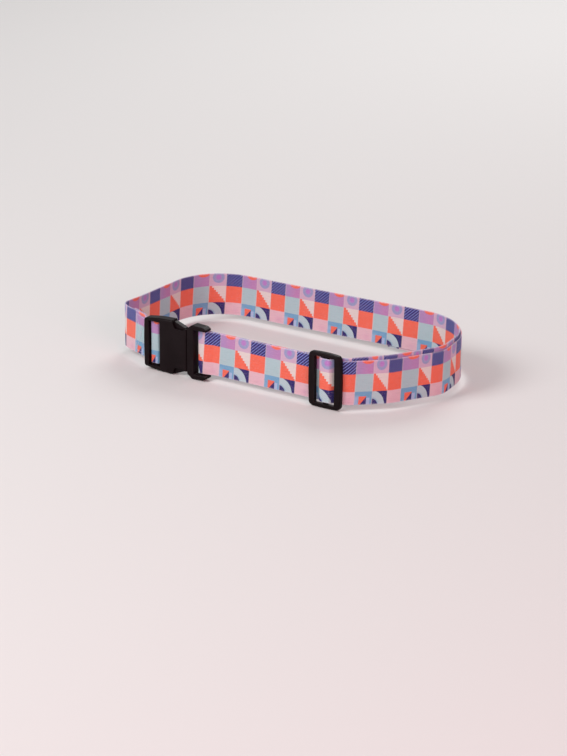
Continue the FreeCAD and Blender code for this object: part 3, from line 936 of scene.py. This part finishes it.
def stitching(name, node, place, box, faces_out, cross):
    """A box of stitches on flat webbing, and a cross in it if asked.

    place turns (along, up, out) into a point of the frame, box is where the stitches start and
    stop along the webbing and how far up and down they go, and faces_out are the levels that
    show stitches, each with the side it faces."""
    first, last, up = box
    vertices, faces = [], []
    corners = [(first, -up), (last, -up), (last, up), (first, up)]
    lines = list(zip(corners, corners[1:] + corners[:1]))
    if cross:
        lines += [(corners[0], corners[2]), (corners[3], corners[1])]
    for level, sign in faces_out:
        out = (place(0, 0, 1.0) - place(0, 0, 0.0)).normalized() * sign
        for (a, low), (b, high) in lines:
            stitch_line(vertices, faces, place(a, low, level), place(b, high, level), out)
    mesh = bpy.data.meshes.new(name)
    mesh.from_pydata([vertex * MM for vertex in vertices], [], faces)
    mesh.materials.append(THREAD)
    for polygon in mesh.polygons:
        polygon.use_smooth = True
    piece = bpy.data.objects.new(name, mesh)
    bpy.context.scene.collection.objects.link(piece)
    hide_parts(node)
    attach(piece, "strap")


def on_left_run(along, up, out):
    """A point on the left run's outward face, at a distance from SEWN_START."""
    spot = SEWN_START + SEWN_ALONG * along + SEWN_OUT * (THICK / 2 + out)
    return Vector((spot.x, spot.y, up + read_marks(LEFT_RISE, along, smooth=True)))


def on_back(along, up, out):
    """A point on the hem's outward face, at an X of the frame."""
    hem_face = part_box("tail_webbing")[1].y / MM
    return Vector((along, hem_face + out, up))


def make_stitching():
    """The sewn loop's box and cross, seen on both faces, and the hem's box."""
    proud = 0.1
    front_face = (proud, 1)
    back_face = (-(THICK + PITCH) - proud, -1)
    sewn_box = (6.0, 26.0, 21.0)
    hem_box = (63.0, 78.0, 22.0)
    both = [front_face, back_face]
    stitching("sewn_loop_threads", "sewn_loop_stitching", on_left_run, sewn_box, both, cross=True)
    stitching("tail_hem_threads", "tail_hem_stitching", on_back, hem_box, [front_face], cross=False)


# ---------------------------------------------------------------- studio


def make_floor():
    """A plain pale floor, 28 m square, just under the strap."""
    size = 14.0
    mesh = bpy.data.meshes.new("studio_floor")
    corners = [(-size, -size), (size, -size), (size, size), (-size, size)]
    mesh.from_pydata([(x, y, FLOOR_LEVEL) for x, y in corners], [], [(0, 1, 2, 3)])
    floor = bpy.data.objects.new("studio_floor", mesh)
    bpy.context.scene.collection.objects.link(floor)
    material, _, shader = empty_material("pale_floor")
    set_sockets(shader, Base_Color=FLOOR_PAINT, Roughness=0.9, Specular_IOR_Level=0.1)
    mesh.materials.append(material)


def make_light(name, place, target, size, power, colour=(1.0, 1.0, 1.0)):
    """A soft round lamp that faces its target."""
    light = bpy.data.lights.new(name, "AREA")
    light.shape = "DISK"
    light.size = size
    light.energy = power
    light.color = colour
    lamp = bpy.data.objects.new(name, light)
    lamp.location = place
    lamp.rotation_mode = "QUATERNION"
    lamp.rotation_quaternion = (Vector(target) - Vector(place)).to_track_quat("-Z", "Y")
    bpy.context.scene.collection.objects.link(lamp)


def make_studio():
    """The floor, three lamps and an even pale surround."""
    make_floor()
    middle = (0.02, 0.0, 0.0)
    make_light("key_light", (-1.1, -2.2, 1.9), middle, 1.6, 59)
    make_light("fill_light", (2.6, -1.6, 1.2), middle, 1.8, 40, (1.0, 0.46, 0.51))
    make_light("back_light", (-0.6, 2.2, 1.8), middle, 1.6, 30)
    world = bpy.data.worlds.new("studio_world")
    world.use_nodes = True
    background = world.node_tree.nodes["Background"]
    background.inputs["Color"].default_value = SKY_LIGHT
    background.inputs["Strength"].default_value = 0.42
    bpy.context.scene.world = world
    bpy.context.scene.view_settings.view_transform = "Standard"


def make_camera():
    """A long lens, from the front and the right, a little above the strap."""
    azimuth = math.radians(33.73)
    elevation = math.radians(19.52)
    roll = math.radians(0.285)
    distance = 3.254
    target = Vector((0.0462, FRONT * MM, -0.0094))
    level = math.cos(elevation)
    look = Vector((-math.sin(azimuth) * level, math.cos(azimuth) * level, -math.sin(elevation)))
    data = bpy.data.cameras.new("camera")
    data.lens = 142.86
    data.sensor_width = 36.0
    camera = bpy.data.objects.new("camera", data)
    camera.location = target - look * distance
    camera.rotation_mode = "QUATERNION"
    tilt = Matrix.Rotation(roll, 3, "Z").to_quaternion()
    camera.rotation_quaternion = look.to_track_quat("-Z", "Y") @ tilt
    bpy.context.scene.collection.objects.link(camera)
    bpy.context.scene.camera = camera


# ---------------------------------------------------------------- everything together

PLASTIC_NODES = (
    "female_shell", "male_base", "upper_latch_arm", "lower_latch_arm", "slider_frame",
)
for node in PLASTIC_NODES:
    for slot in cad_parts[node].material_slots:
        slot.material = PLASTIC

make_girth()
make_inner_run()
make_buckle_side_run()
make_slider_side_run()
make_male_loop()
make_slider_loop()
make_tail()
make_stitching()
make_studio()
make_camera()
